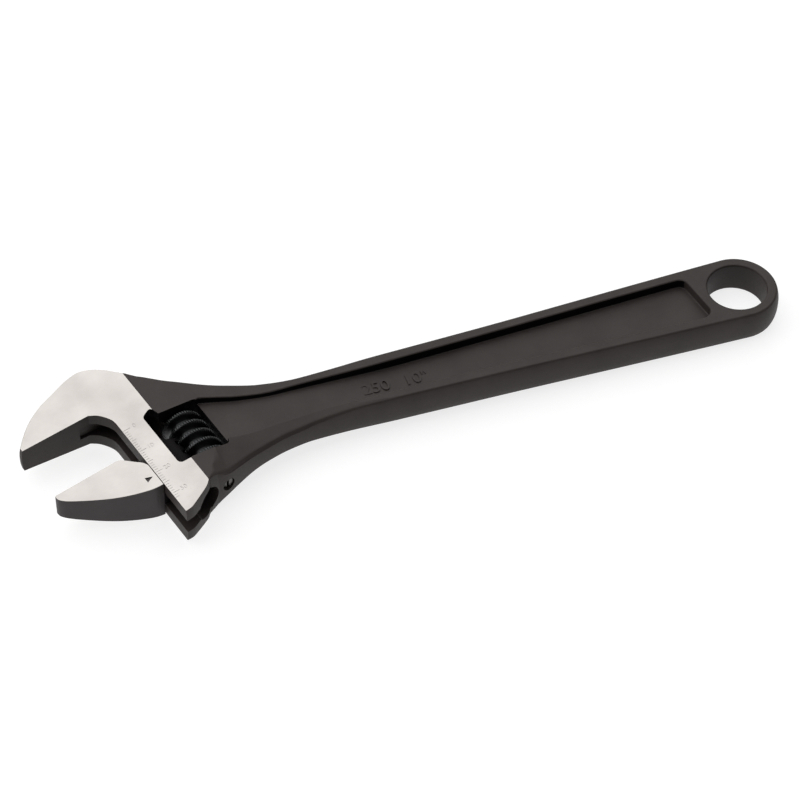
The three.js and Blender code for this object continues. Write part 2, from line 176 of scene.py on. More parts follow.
def stacked(outline, rings, split=()):
    """A closed solid of offset outlines. rings gives (offset, z) at each level from the bottom up, each
    a number or one value per point. The solid's faces are split along the planes in split."""
    bm = bmesh.new()
    out = normals(outline)
    n = len(outline)
    levels = []

    def at(value, i):
        return value[i] if isinstance(value, (list, tuple)) else value

    for offset, z in rings:
        levels.append([
            bm.verts.new((*(p + out[i] * at(offset, i)), at(z, i))) for i, p in enumerate(outline)
        ])
    for low, high in zip(levels, levels[1:]):
        for i in range(n):
            k = (i + 1) % n
            bm.faces.new((low[i], low[k], high[k], high[i]))
    bm.faces.new(levels[0][::-1])
    bm.faces.new(levels[-1])
    for point, normal in split:
        geometry = bm.verts[:] + bm.edges[:] + bm.faces[:]
        bmesh.ops.bisect_plane(bm, geom=geometry, dist=1e-5, plane_co=point, plane_no=normal)
    return bm


def prism(outline, low, high):
    return stacked(outline, [(0, low), (0, high)])


def lathe(profile, a, segments=64):
    """Turned about the rail direction at a. profile is (r, s) pairs, from the axis back to the axis, or
    a loop clear of the axis for a ring."""
    bm = bmesh.new()
    rings = []
    for r, s in profile:
        if r == 0:
            rings.append([bm.verts.new((a, s, 0))])
            continue
        turns = [2 * math.pi * k / segments for k in range(segments)]
        rings.append([bm.verts.new((a + r * math.cos(t), s, r * math.sin(t))) for t in turns])
    loop = rings[1:] + (rings[:1] if profile[0][0] else [])
    for low, high in zip(rings, loop):
        for k in range(segments):
            quad = (
                low[k % len(low)],
                low[(k + 1) % len(low)],
                high[(k + 1) % len(high)],
                high[k % len(high)],
            )
            bm.faces.new(list(dict.fromkeys(quad)))
    bmesh.ops.recalc_face_normals(bm, faces=bm.faces)
    return bm


def block(a0, a1, s0, s1, z0, z1):
    bm = bmesh.new()
    bmesh.ops.create_cube(bm, size=1)
    bmesh.ops.scale(bm, vec=(a1 - a0, s1 - s0, z1 - z0), verts=bm.verts)
    bmesh.ops.translate(bm, vec=((a0 + a1) / 2, (s0 + s1) / 2, (z0 + z1) / 2), verts=bm.verts)
    return bm


def thing(name, bm, matrix, materials=()):
    """A mesh object whose vertices are carried by matrix from millimetres into the part's frame."""
    bmesh.ops.transform(bm, matrix=matrix, verts=bm.verts)
    bmesh.ops.recalc_face_normals(bm, faces=bm.faces)
    mesh = bpy.data.meshes.new(name)
    bm.to_mesh(mesh)
    bm.free()
    for material in materials:
        mesh.materials.append(material)
    obj = bpy.data.objects.new(name, mesh)
    bpy.context.scene.collection.objects.link(obj)
    return obj


def carve(obj, steps):
    """Runs boolean steps, each (operation, tool object), and deletes the tools."""
    for operation, tool in steps:
        modifier = obj.modifiers.new("cut", "BOOLEAN")
        modifier.operation = operation
        modifier.solver = "EXACT"
        modifier.object = tool
    graph = bpy.context.evaluated_depsgraph_get()
    graph.update()
    mesh = bpy.data.meshes.new_from_object(obj.evaluated_get(graph), depsgraph=graph)
    obj.modifiers.clear()
    obj.data = mesh
    for _, tool in steps:
        bpy.data.objects.remove(tool)
    return obj


def finish_edges(obj, angle=32):
    obj.data.shade_smooth()
    obj.data.set_sharp_from_angle(angle=math.radians(angle))
    weighted = obj.modifiers.new("weighted normals", "WEIGHTED_NORMAL")
    weighted.keep_sharp = True
    weighted.weight = 80


# ---- materials -----------------------------------------------------------------------------------


def shader(name, color, metallic, roughness, specular=0.5):
    """A principled material, with its node tree and a texture coordinate in metres."""
    material = bpy.data.materials.new(name)
    material.use_nodes = True
    nodes = material.node_tree.nodes
    bsdf = nodes["Principled BSDF"]
    bsdf.inputs["Base Color"].default_value = (*color, 1)
    bsdf.inputs["Metallic"].default_value = metallic
    bsdf.inputs["Roughness"].default_value = roughness
    bsdf.inputs["Specular IOR Level"].default_value = specular
    where = nodes.new("ShaderNodeTexCoord").outputs["Object"]
    return material, bsdf, where


def noise(material, where, scale, detail=3.0, stretch=(1, 1, 1), turn=0.0):
    """Noise with features of about 1/scale metres, drawn out by stretch along axes turned about Z."""
    nodes, links = material.node_tree.nodes, material.node_tree.links
    mapping = nodes.new("ShaderNodeMapping")
    mapping.vector_type = "TEXTURE"
    mapping.inputs["Scale"].default_value = stretch
    mapping.inputs["Rotation"].default_value = (0, 0, turn)
    links.new(where, mapping.inputs["Vector"])
    texture = nodes.new("ShaderNodeTexNoise")
    texture.inputs["Scale"].default_value = scale
    texture.inputs["Detail"].default_value = detail
    links.new(mapping.outputs["Vector"], texture.inputs["Vector"])
    return texture.outputs["Fac"]


def ramp(material, value, low, high, start=0.3, end=0.7):
    """Maps a value between two numbers or two colours."""
    nodes, links = material.node_tree.nodes, material.node_tree.links
    if isinstance(low, tuple):
        node = nodes.new("ShaderNodeValToRGB")
        first, last = node.color_ramp.elements
        first.position, last.position = start, end
        first.color, last.color = (*low, 1), (*high, 1)
        links.new(value, node.inputs["Fac"])
        return node.outputs["Color"]
    node = nodes.new("ShaderNodeMapRange")
    node.inputs["From Min"].default_value = start
    node.inputs["From Max"].default_value = end
    node.inputs["To Min"].default_value = low
    node.inputs["To Max"].default_value = high
    links.new(value, node.inputs["Value"])
    return node.outputs["Result"]


def bump(material, bsdf, *layers):
    """Stacks bump layers, each (height, depth in metres)."""
    nodes, links = material.node_tree.nodes, material.node_tree.links
    normal = None
    for height, depth in layers:
        node = nodes.new("ShaderNodeBump")
        node.inputs["Strength"].default_value = 1
        node.inputs["Distance"].default_value = depth
        links.new(height, node.inputs["Height"])
        if normal:
            links.new(normal, node.inputs["Normal"])
        normal = node.outputs["Normal"]
    links.new(normal, bsdf.inputs["Normal"])


def black_finish(name, dark, light, roughness, specular=0.3):
    """A dull black surface: fine grain, faint clouding."""
    material, bsdf, where = shader(name, dark, 0.0, 0.55, specular)
    links = material.node_tree.links
    clouds = noise(material, where, 90, 5)
    grain = noise(material, where, 2600, 2)
    links.new(ramp(material, clouds, dark, light), bsdf.inputs["Base Color"])
    links.new(ramp(material, grain, *roughness), bsdf.inputs["Roughness"])
    bump(material, bsdf, (clouds, 0.00004), (grain, 0.000012))
    return material


def ground_steel():
    """Surface-ground steel, the wheel's fine lines running along the jaws."""
    material, bsdf, where = shader("ground steel", (0.5, 0.48, 0.46), 1.0, 0.4)
    links = material.node_tree.links
    along = math.atan2(TIPS.y, TIPS.x)
    lines = noise(material, where, 5200, 2, (28, 1, 1), along)
    clouds = noise(material, where, 70, 4)
    colour = ramp(material, clouds, (0.435, 0.41, 0.39), (0.535, 0.51, 0.485))
    links.new(colour, bsdf.inputs["Base Color"])
    links.new(ramp(material, lines, 0.36, 0.46), bsdf.inputs["Roughness"])
    bump(material, bsdf, (lines, 0.0000022), (clouds, 0.00001))
    return material


def oxide(name, color, roughness, metallic=1.0):
    """Machined steel, blackened: fine turning marks and rubbed spots."""
    material, bsdf, where = shader(name, color, metallic, roughness[0])
    links = material.node_tree.links
    along = math.atan2(RAIL.y, RAIL.x)
    marks = noise(material, where, 4200, 2, (1, 14, 14), along)
    spots = noise(material, where, 420, 4)
    light = tuple(min(1.0, 1.5 * c) for c in color)
    links.new(ramp(material, spots, color, light, 0.45, 0.75), bsdf.inputs["Base Color"])
    links.new(ramp(material, marks, *roughness), bsdf.inputs["Roughness"])
    bump(material, bsdf, (marks, 0.000003), (spots, 0.000006))
    return material


FORGED = black_finish("forged black", (0.024, 0.018, 0.016), (0.034, 0.0265, 0.024), (0.5, 0.62))
STEEL = ground_steel()
JAW_BLACK = black_finish("jaw black", (0.03, 0.024, 0.0245), (0.04, 0.033, 0.034), (0.45, 0.55))
# Painted shade: a near black that stands in for deep shadow on inner walls and the toothed bar; it isn't a
# finish of its own.
PAINTED_SHADE_BLACK = black_finish(
    "painted shade black", (0.003, 0.0025, 0.0025), (0.006, 0.005, 0.005), (0.5, 0.65), 0.06)
KNURL_BLACK = oxide("knurl oxide", (0.042, 0.043, 0.044), (0.3, 0.42))
PIN_STEEL = oxide("pin steel", (0.12, 0.115, 0.11), (0.35, 0.5))
WIRE = oxide("spring wire", (0.3, 0.3, 0.31), (0.25, 0.4))

# ---- body: handle, neck and fixed jaw ------------------------------------------------------------


def from_head(*points):
    return [(HEAD_IN_HANDLE @ Vector((a, s, 0))).xy for a, s in points]


def head_a(p):
    """The head-frame a of a handle-frame point."""
    return (HEAD_IN_HANDLE.inverted() @ Vector((p[0], p[1], 0))).x


def across_head(a):
    """The plane of constant a in the handle frame, for splitting flat faces."""
    point = HEAD_IN_HANDLE @ Vector((a, 0, 0))
    return point, HEAD_IN_HANDLE.to_3x3() @ Vector((1, 0, 0))


BULGE, HEAD_BULGE = 1.0, 0.45     # how far the forged side stands out at the parting line
EDGE_R, GROUND_R = 0.55, 0.12     # edge radii of the forged and the ground faces
FOLDS = [across_head(a) for a in (GROUND_EDGE, GROUND_EDGE - NECK_RAMP, NECK_END)]


def forging(outline):
    """The blank: rounded at the faces, standing out towards the parting line."""
    halves = [half_thickness(head_a(p)) for p in outline]
    radii = [GROUND_R if head_a(p) > GROUND_EDGE else EDGE_R for p in outline]
    full = [HEAD_BULGE if head_a(p) > GROUND_EDGE else BULGE for p in outline]

    def bulge(most, level):
        return most * (1 - abs(level) ** 2.5)

    side = []
    for k in range(4):
        turn = math.radians(90 * k / 3)
        level = [1 - r * (1 - math.sin(turn)) / h for r, h in zip(radii, halves)]
        offset = [bulge(b, v) - r * (1 - math.cos(turn)) for b, r, v in zip(full, radii, level)]
        side.append((offset, level))
    middle = [([bulge(b, v) for b in full], [v] * len(outline)) for v in (0.12, 0.35, 0.55, 0.75)]
    upper = middle + side
    lower = [(offset, [-v for v in level]) for offset, level in reversed(upper)]
    rings = lower + upper
    bm = stacked(outline, rings, FOLDS)
    for v in bm.verts:
        v.co.z *= half_thickness(head_a(v.co))
    return bm


NECK_TOP_JOIN, NECK_FOOT_JOIN = (-20.2, -5.2), (-20.6, 42.9)   # where the head's outline meets the neck's
BACK = spline([
    NECK_TOP_JOIN, (-15.9, -10), (-13.6, -12.6), (-11.2, -14.8), (-8.4, -16.5), (-5, -17.45), (0, -16.5),
    (5.4, -14.5), (10.8, -12.5), (16, -9.5), (19.3, -6.8), (22, -4), (24.3, -1.3)], 4)
LOWER_END = spline([
    (-5, 50.4), (-7.4, 50.1), (-10.1, 48.8), (-15.1, 46.0), (-17.2, 44.2), NECK_FOOT_JOIN], 6)
UPPER_EDGE = spline([(0, END_R), (-20, 12.6), (-50, 11.65), (-80, 10.65), (-105, 10.1), (-125, 9.7),
                     (-138, 9.1), (-150, 8.75), (-156.5, 9.15), (-161.5, 9.9), (-166.6, 10.9),
                     (-171.6, 12.2), (-176.7, 13.7), (-181.7, 15.6), (-186.8, 17.9), (-191.8, 20.1),
                     (-196.9, 22.9), from_head(NECK_TOP_JOIN)[0]], 6)
LOWER_EDGE = spline([from_head(NECK_FOOT_JOIN)[0], (-184, -21.6), (-182, -20.6), (-179.2, -19.0),
                     (-174.2, -16.3), (-170, -14.5), (-166.1, -13.1), (-161.2, -11.65), (-154.6, -10.4),
                     (-149.4, -9.75), (-138, -9.2), (-125, -9.5), (-105, -10.0), (-80, -10.65),
                     (-50, -11.65), (-20, -12.6), (0, -END_R)], 6)
BODY_OUTLINE = closed(
    arc(0, 0, END_R, -90, 90, 48),
    UPPER_EDGE,
    from_head(*BACK),
    from_head((24.3, 8), (4, 50.4)),
    from_head(*LOWER_END),
    LOWER_EDGE,
)
GAP_OUTLINE = closed(
    [(FAR, 0), (FAR, FAR), (THROAT, FAR)],
    spline([(THROAT, 8), (-4.7, 6.1), (-3.6, 3.9), (-1.8, 1.6), (0.6, 0)], 6),
)
RECESS_OUTLINE = closed(
    arc(-16, -5.55, 3.4, -90, -8, 8),
    arc(-17.9, 5.95, 3, 8, 92, 8),
    spline([(-20, 8.93), (-40, 8.35), (-60, 7.7), (-101, 6.5), (-122, 5.95), (-130, 5.8), (-151, 5.7),
            (-161, 5.6), (-171, 6.6), (-177, 7.9), (-183, 9.2)], 6),
    [(-189, 6.5), (-186, -9.0)],
    spline([(-178.6, -9.0), (-172, -8.6), (-161, -7.2), (-151, -6.5), (-130, -6.2), (-101, -6.4),
            (-60, -7.5), (-40, -8.1), (-18, -8.93)], 6),
)
NECK_FLOOR_START, NECK_FLOOR_SLOPE = -118, 2.3 / 64
# The recess's section: outward offset, with the height above its floor, then that above its rim.
FLOOR_FILLET = [(-0.45, 0), (-0.2, 0.06), (-0.06, 0.2), (0, 0.5)]
RIM_ROUNDING = [(0.15, -0.55), (0.22, -0.28), (0.38, -0.1), (0.62, -0.01), (1.1, 0.12), (3, 2.5)]


def recess_floor(x):
    return FLOOR_HALF + NECK_FLOOR_SLOPE * max(0, NECK_FLOOR_START - x)


def recess(side):
    """The pocket of one face: sloping floor at the neck, filleted at the bottom, rounded at the rim."""
    rims = [half_thickness(head_a(p)) for p in RECESS_OUTLINE]
    floors = [recess_floor(p.x) for p in RECESS_OUTLINE]
    rings = [(offset, [f + z for f in floors]) for offset, z in FLOOR_FILLET]
    rings += [(offset, [h + z for h in rims]) for offset, z in RIM_ROUNDING]
    bm = stacked(RECESS_OUTLINE, rings, [((NECK_FLOOR_START, 0, 0), (1, 0, 0))])
    for v in bm.verts:
        v.co.z *= side
    return bm


# The neck thins towards its lower edge: x, y and half thickness along that edge.
NECK_EDGE = [
    (-190.5, -25.2, 8.6), (-187, -22.9, 7.3), (-184, -21.6, 6.0), (-182, -20.6, 5.4),
    (-179.2, -19.0, 4.95), (-174.2, -16.3, 4.4), (-170, -14.5, 4.05), (-166.1, -13.1, 4.0),
    (-161.2, -11.65, 4.0), (-154.6, -10.4, 4.05), (-149.4, -9.75, 4.45), (-138, -9.2, 5.1),
    (-125, -9.5, 5.35), (-110, -9.85, 5.6), (-95, -10.25, 5.7)]
# The thinned face across the handle: distance in from the edge, and height above the edge there.
THINNING = [
    (-4, -1.6), (-0.9, -0.95), (-0.55, -0.7), (-0.25, -0.3), (0, 0),
    (0.35, 0.16), (1.0, 0.3), (4, 0.75), (10, 1.65), (16, 2.6)]


def neck_thinning(side):
    """The cutter that takes the neck's lower side down to its thin edge, rounding that edge."""
    bm = bmesh.new()
    line = spline(NECK_EDGE, 4)
    rows = [[bm.verts.new((p.x, p.y + v, side * (p.z + rise))) for v, rise in THINNING] for p in line]
    tops = [[bm.verts.new((p.x, p.y + v, side * THROUGH)) for v, _ in THINNING] for p in line]
    for grid in (rows, tops):
        for low, high in zip(grid, grid[1:]):
            for k in range(len(THINNING) - 1):
                bm.faces.new((low[k], low[k + 1], high[k + 1], high[k]))
    for k in (0, -1):
        for i in range(len(line) - 1):
            bm.faces.new((rows[i][k], rows[i + 1][k], tops[i + 1][k], tops[i][k]))
    for i in (0, -1):
        for k in range(len(THINNING) - 1):
            bm.faces.new((rows[i][k], rows[i][k + 1], tops[i][k + 1], tops[i][k]))
    return bm


def rounded_box(a0, a1, s0, s1, r):
    return closed(arc(a1 - r, s1 - r, r, 0, 90, 6), arc(a0 + r, s1 - r, r, 90, 180, 6),
                  arc(a0 + r, s0 + r, r, 180, 270, 6), arc(a1 - r, s0 + r, r, 270, 360, 6))


def merged(*meshes):
    """Separate solids in one mesh."""
    out = bmesh.new()
    for bm in meshes:
        mesh = bpy.data.meshes.new("part")
        bm.to_mesh(mesh)
        bm.free()
        out.from_mesh(mesh)
        bpy.data.meshes.remove(mesh)
    return out


def hole_cutter():
    """The hanging hole, rounded where it meets each face."""
    rounding = [(2.7, -2), (0.8, -0.02), (0.3, 0.12), (0.07, 0.4), (0, 0.8)]
    lower = [(0, -HANDLE_HALF - 2)] + [(HOLE_R + wider, -HANDLE_HALF + z) for wider, z in rounding]
    bm = lathe(lower + [(r, -z) for r, z in reversed(lower)], 0, 96)
    bmesh.ops.rotate(bm, matrix=Matrix.Rotation(math.radians(90), 3, "X"), verts=bm.verts)
    return bm


SCALE_ZERO = 12.1     # where the movable jaw's pointer stands when the jaws are shut
SCALE_LENGTH = 32
SCALE_DEPTH = 0.08
MARK_HALF_WIDTH = 0.07
LONG_MARK, MIDDLE_MARK, SHORT_MARK = 2.4, 1.8, 1.2
MARK_START = THROAT - 0.25
NUMBER_SIZE, NUMBER_A = 2.3, THROAT - 4.2


def on_slope(bm):
    """Lifts a tool made about z = 0 onto the body's tapered upper face."""
    for v in bm.verts:
        v.co.z += half_thickness(v.co.x)
    return bm


def scale_marks():
    """One line a millimetre along the edge of the throat, longer at 5 and at 10."""
    marks = []
    for k in range(SCALE_LENGTH + 1):
        length = LONG_MARK if k % 10 == 0 else MIDDLE_MARK if k % 5 == 0 else SHORT_MARK
        low, high = SCALE_ZERO + k - MARK_HALF_WIDTH, SCALE_ZERO + k + MARK_HALF_WIDTH
        marks.append(block(MARK_START - length, MARK_START, low, high, -SCALE_DEPTH, 1))
    return on_slope(merged(*marks))


def lettering(text, size, depth):
    """Text as a flat-bottomed solid about z = 0, baseline along +x, centred."""
    curve = bpy.data.curves.new("text", "FONT")
    curve.body = text
    curve.size = size
    curve.extrude = depth / 2
    curve.align_x = "CENTER"
    curve.align_y = "CENTER"
    curve.resolution_u = 3
    obj = bpy.data.objects.new("text", curve)
    bpy.context.scene.collection.objects.link(obj)
    graph = bpy.context.evaluated_depsgraph_get()
    mesh = bpy.data.meshes.new_from_object(obj.evaluated_get(graph))
    bm = bmesh.new()
    bm.from_mesh(mesh)
    bmesh.ops.remove_doubles(bm, verts=bm.verts, dist=1e-4)
    bpy.data.objects.remove(obj)
    bpy.data.meshes.remove(mesh)
    return bm


def scale_numbers():
    """The numbers at each centimetre, read with the jaw tips to the left."""
    made = []
    for k in range(0, SCALE_LENGTH + 1, 10):
        bm = lettering(str(k), NUMBER_SIZE, 2 * SCALE_DEPTH)
        place = Matrix.Translation((NUMBER_A, SCALE_ZERO + k, 0))
        half_turn = Matrix.Rotation(math.radians(180), 4, "Z")
        bmesh.ops.transform(bm, matrix=place @ half_turn, verts=bm.verts)
        made.append(bm)
    return on_slope(merged(*made))


# A relief at the window's upper corner, cut through like the window.
WINDOW_NOTCH = closed(spline([
    (-13, 14), (-13.05, 11.5), (-13.7, 10.5), (-15, 9.7), (-16.3, 9.2), (-17, 9.7),
    (-17.4, 11), (-17.9, 12.8), (-18.6, 14)], 5))
SIZE_TEXTS = (("250", -127), ('10"', -113.5))    # each with its middle along the handle
SIZE_TEXT_HEIGHT, SIZE_TEXT_RELIEF, SIZE_TEXT_Y = 6.3, 0.6, -1.2
SIZE_TEXT_LIFT = 0.02


def size_marks():
    """The nominal length, raised on the upper recess floor, read with the jaws to the left."""
    made = []
    for text, x in SIZE_TEXTS:
        bm = lettering(text, SIZE_TEXT_HEIGHT, SIZE_TEXT_RELIEF)
        place = Matrix.Translation((x, SIZE_TEXT_Y, recess_floor(x) + SIZE_TEXT_LIFT))
        bmesh.ops.transform(bm, matrix=place, verts=bm.verts)
        made.append(bm)
    return merged(*made)


body = thing("wrench_body", forging(BODY_OUTLINE), HANDLE, [FORGED, STEEL, PAINTED_SHADE_BLACK])
pin_hole = lathe([(0, PIN_HOLE_TOP), (PIN_HOLE_R, PIN_HOLE_TOP), (PIN_HOLE_R, FAR), (0, FAR)], KNURL_A, 48)
bar_bore = lathe([
    (0, BORE_TOP - 1.2), (BORE_R - 1.6, BORE_TOP), (BORE_R - 0.5, BORE_TOP + 0.7),
    (BORE_R, BORE_TOP + 1.4), (BORE_R, FAR), (0, FAR)], BAR_A, 72)
window = rounded_box(WINDOW[0], WINDOW[2], WINDOW[1], WINDOW[3], WINDOW_CORNER)
carve(body, [
    ("DIFFERENCE", thing("thinning_upper", neck_thinning(1), HANDLE)),
    ("DIFFERENCE", thing("thinning_lower", neck_thinning(-1), HANDLE)),
    ("DIFFERENCE", thing("gap", prism(GAP_OUTLINE, -THROUGH, THROUGH), HEAD)),
    ("DIFFERENCE", thing("pocket_upper", recess(1), HANDLE)),
    ("DIFFERENCE", thing("pocket_lower", recess(-1), HANDLE)),
    ("DIFFERENCE", thing("hole", hole_cutter(), HANDLE)),
    ("DIFFERENCE", thing("slot", block(BAR_A, 4, SLOT_TOP, FAR, -SLOT_HALF, SLOT_HALF), HEAD)),
    ("DIFFERENCE", thing("bore", bar_bore, HEAD)),
    ("DIFFERENCE", thing("window", prism(window, -THROUGH, THROUGH), HEAD)),
    ("DIFFERENCE", thing("notch", prism(WINDOW_NOTCH, -THROUGH, THROUGH), HEAD)),
    ("DIFFERENCE", thing("pin_hole", pin_hole, HEAD)),
    ("DIFFERENCE", thing("scale", scale_marks(), HEAD)),
])
carve(body, [
    ("DIFFERENCE", thing("numbers", scale_numbers(), HEAD)),
    ("UNION", thing("size_marks", size_marks(), HANDLE)),
])


FACING = 0.6          # a face looks along an axis when its normal has at least this much of it
RELIEF_TOP = 8.5
RECESS_END = -14


def paint(obj, thickness, limit, inner):
    """Gives the second material to the tapered faces on the tips' side of limit, and the third one, the
    painted shade, to the faces for which inner(face, head-frame centre) is true."""
    to_head = HEAD.inverted()
    for face in obj.data.polygons:
        p = to_head @ face.center
        flat = abs(face.normal.z) > 0.8 and abs(p.z) > thickness(p.x) - 0.2
        face.material_index = 1 if flat and p.x > limit else 0
        if not flat and inner(face, p):
            face.material_index = 2


def in_shade(face, p):
    """Painted shade: the walls of the knurl's window and its relief, and the recess walls on the fixed
    jaw's side.
    """
    if abs(face.normal.z) > FACING:
        return False
    if WINDOW[0] - 0.1 < p.x < WINDOW[2] + 0.1 and RELIEF_TOP < p.y < WINDOW[3] + 0.3:
        return True
    along, across, _ = (face.center - HOLE_ORIGIN) / MM
    on_recess_wall = along < RECESS_END and 3 < across < 9.3 and face.normal.y < -FACING
    return p.x < WINDOW[0] and on_recess_wall


# Faces of the toothed bar and its web beyond the throat, which get the painted shade.
def on_bar(face, p):
    return p.x < THROAT - 1


paint(body, half_thickness, GROUND_EDGE, in_shade)
finish_edges(body)

# ---- movable jaw ---------------------------------------------------------------------------------

JAW_OUTLINE = closed(
    [(2.6, 0), (24.1, 0)],
    spline([(24.5, 0.3), (24.3, 1.8), (23.1, 3.4), (20.5, 5.5), (16.4, 8.3), (12.3, 10.85), (8.2, 13.0),
            (4, 14.75), (0, 16.05), (-2.2, 16.5)], 6),
    [(-3.4, WEB_BOTTOM), (THROAT + JAW_GAP, WEB_BOTTOM)],
    spline([(THROAT + JAW_GAP, 7.6), (-4, 5.8), (-2, 3.7), (-0.1, 1.7), (1.2, 0.5), (2.6, 0)], 5),
)
JAW_EDGE_R = 0.15
JAW_AT = HEAD @ Matrix.Translation((0, OPENING, 0))


def jaw_blank():
    upper = []
    for k in range(3):
        turn = math.radians(45 * k)
        inset, down = JAW_EDGE_R * (1 - math.cos(turn)), JAW_EDGE_R * (1 - math.sin(turn))
        upper.append((-inset, [1 - down / jaw_half_thickness(p.x) for p in JAW_OUTLINE]))
    lower = [(offset, [-v for v in level]) for offset, level in reversed(upper)]
    bm = stacked(JAW_OUTLINE, lower + upper)
    for v in bm.verts:
        v.co.z *= jaw_half_thickness(v.co.x)
    return bm


def rack_grooves():
    """Slanted grooves for the knurl's thread, a pitch apart."""
    tip = BAR_A - BAR_R - 1
    flank = (ROOT_WIDTH - CREST_WIDTH) / 2 / (KNURL_R - KNURL_ROOT)
    half_floor = CREST_WIDTH / 2 + MESH_GAP
    half_tip = half_floor + flank * (RACK_FLOOR - tip)
    corners = [(RACK_FLOOR, -half_floor), (RACK_FLOOR, half_floor), (tip, half_tip), (tip, -half_tip)]
    lead = PITCH / (2 * math.pi * (KNURL_R - 0.9))
    first = KNURL_PHASE - PITCH / 4 - OPENING
    made = []
    for k in range(int((BAR_BOTTOM - first) / PITCH) + 2):
        s = first + k * PITCH
        bm = prism(closed([(a, s + t) for a, t in corners]), -9, 9)
        for v in bm.verts:
            v.co.y += lead * v.co.z
        made.append(bm)
    return merged(*made)


BAR_CHAMFER = 0.6
bar = lathe([
    (0, BAR_TOP), (BAR_R - BAR_CHAMFER, BAR_TOP), (BAR_R, BAR_TOP + BAR_CHAMFER),
    (BAR_R, BAR_BOTTOM - BAR_CHAMFER), (BAR_R - BAR_CHAMFER, BAR_BOTTOM), (0, BAR_BOTTOM)], BAR_A, 72)
web = block(BAR_A, -2.5, WEB_TOP, WEB_BOTTOM, -WEB_HALF_THICK, WEB_HALF_THICK)
jaw = thing("sliding_jaw", jaw_blank(), JAW_AT, [JAW_BLACK, STEEL, PAINTED_SHADE_BLACK])
carve(jaw, [
    ("UNION", thing("web", web, JAW_AT)),
    ("UNION", thing("bar", bar, JAW_AT)),
    ("DIFFERENCE", thing("grooves", rack_grooves(), JAW_AT)),
])
POINTER = [(-3.6, SCALE_ZERO), (-1.2, SCALE_ZERO - 1), (-1.2, SCALE_ZERO + 1.1)]
POINTER_DEPTH = 0.35
pointer = prism(closed(POINTER), jaw_half_thickness(-2.4) - POINTER_DEPTH, THROUGH)
carve(jaw, [("DIFFERENCE", thing("pointer", pointer, JAW_AT))])
paint(jaw, jaw_half_thickness, THROAT - 1, on_bar)
finish_edges(jaw)

# ---- knurl: left-hand worm with a serrated crest -------------------------------------------------

COLUMNS = 288         # round one turn
SERRATION = 6         # columns from one serration to the next
SERRATION_CUT = 2     # of those, how many are cut
SERRATION_DEPTH = 0.35
CREST_FROM = 6.4      # the crest's least radius
# One pitch of the thread: distance along the knurl from the crest's middle, and radius.
THREAD_SECTION = [
    (-0.6, 6.42), (-0.42, 6.62), (0, KNURL_R), (0.42, 6.62), (0.6, 6.42), (0.72, 5.9), (0.95, 4.95),
    (1.12, 4.4), (1.4, 4.14), (2.15, KNURL_ROOT), (2.9, 4.14), (3.18, 4.4), (3.35, 4.95), (3.58, 5.9)]


def worm():
    """The thread as one sheared grid whose rows follow the helix, closed at both ends on the axis."""
    rows_a_turn = len(THREAD_SECTION)
    first = KNURL_PHASE - PITCH / 4 - 2 * PITCH
    rows = rows_a_turn * (int((KNURL_BOTTOM - KNURL_TOP) / PITCH) + 4)
    bm = bmesh.new()
    grid = []
    for j in range(rows):
        u, r = THREAD_SECTION[j % rows_a_turn]
        base = first + u + PITCH * (j // rows_a_turn)
        row = []
        for k in range(COLUMNS):
            turn = 2 * math.pi * k / COLUMNS
            serrated = r > CREST_FROM and k % SERRATION < SERRATION_CUT
            reach = r - SERRATION_DEPTH if serrated else r
            s = base + PITCH * k / COLUMNS
            row.append(bm.verts.new((KNURL_A + reach * math.cos(turn), s, reach * math.sin(turn))))
        grid.append(row)
    for j in range(rows - 1):
        for k in range(COLUMNS - 1):
            bm.faces.new((grid[j][k], grid[j + 1][k], grid[j + 1][k + 1], grid[j][k + 1]))
        if j + 1 + rows_a_turn < rows:
            next_turn = grid[j + 1 + rows_a_turn][0], grid[j + rows_a_turn][0]
            bm.faces.new((grid[j][-1], grid[j + 1][-1], *next_turn))
    low = grid[0] + [grid[j][0] for j in range(rows_a_turn, 0, -1)]
    high = grid[-1] + [grid[rows - 1 - j][-1] for j in range(1, rows_a_turn + 1)]
    for loop in (low, high):
        centre = bm.verts.new((KNURL_A, sum(v.co.y for v in loop) / len(loop), 0))
        for v, after in zip(loop, loop[1:] + loop[:1]):
            bm.faces.new((v, after, centre))
    return bm


# The bored blank that the thread is cut from, with the spring's pocket at its lower end.
POCKET_R, POCKET_DEPTH, KNURL_BORE = 3.4, 3.4, 2.3
blank = lathe([
    (KNURL_BORE, KNURL_TOP), (KNURL_R - 1.1, KNURL_TOP), (KNURL_R - 0.3, KNURL_TOP + 0.35),
    (KNURL_R + 0.2, KNURL_TOP + 0.9), (KNURL_R + 0.2, KNURL_BOTTOM - 0.9),
    (KNURL_R - 0.3, KNURL_BOTTOM - 0.35), (KNURL_R - 1.1, KNURL_BOTTOM),
    (POCKET_R, KNURL_BOTTOM), (POCKET_R, KNURL_BOTTOM - POCKET_DEPTH),
    (KNURL_BORE, KNURL_BOTTOM - POCKET_DEPTH)], KNURL_A, 96)
knurl = thing("thumb_knurl", worm(), HEAD, [KNURL_BLACK])
carve(knurl, [("INTERSECT", thing("blank", blank, HEAD))])
finish_edges(knurl, 40)

# ---- pin -----------------------------------------------------------------------------------------

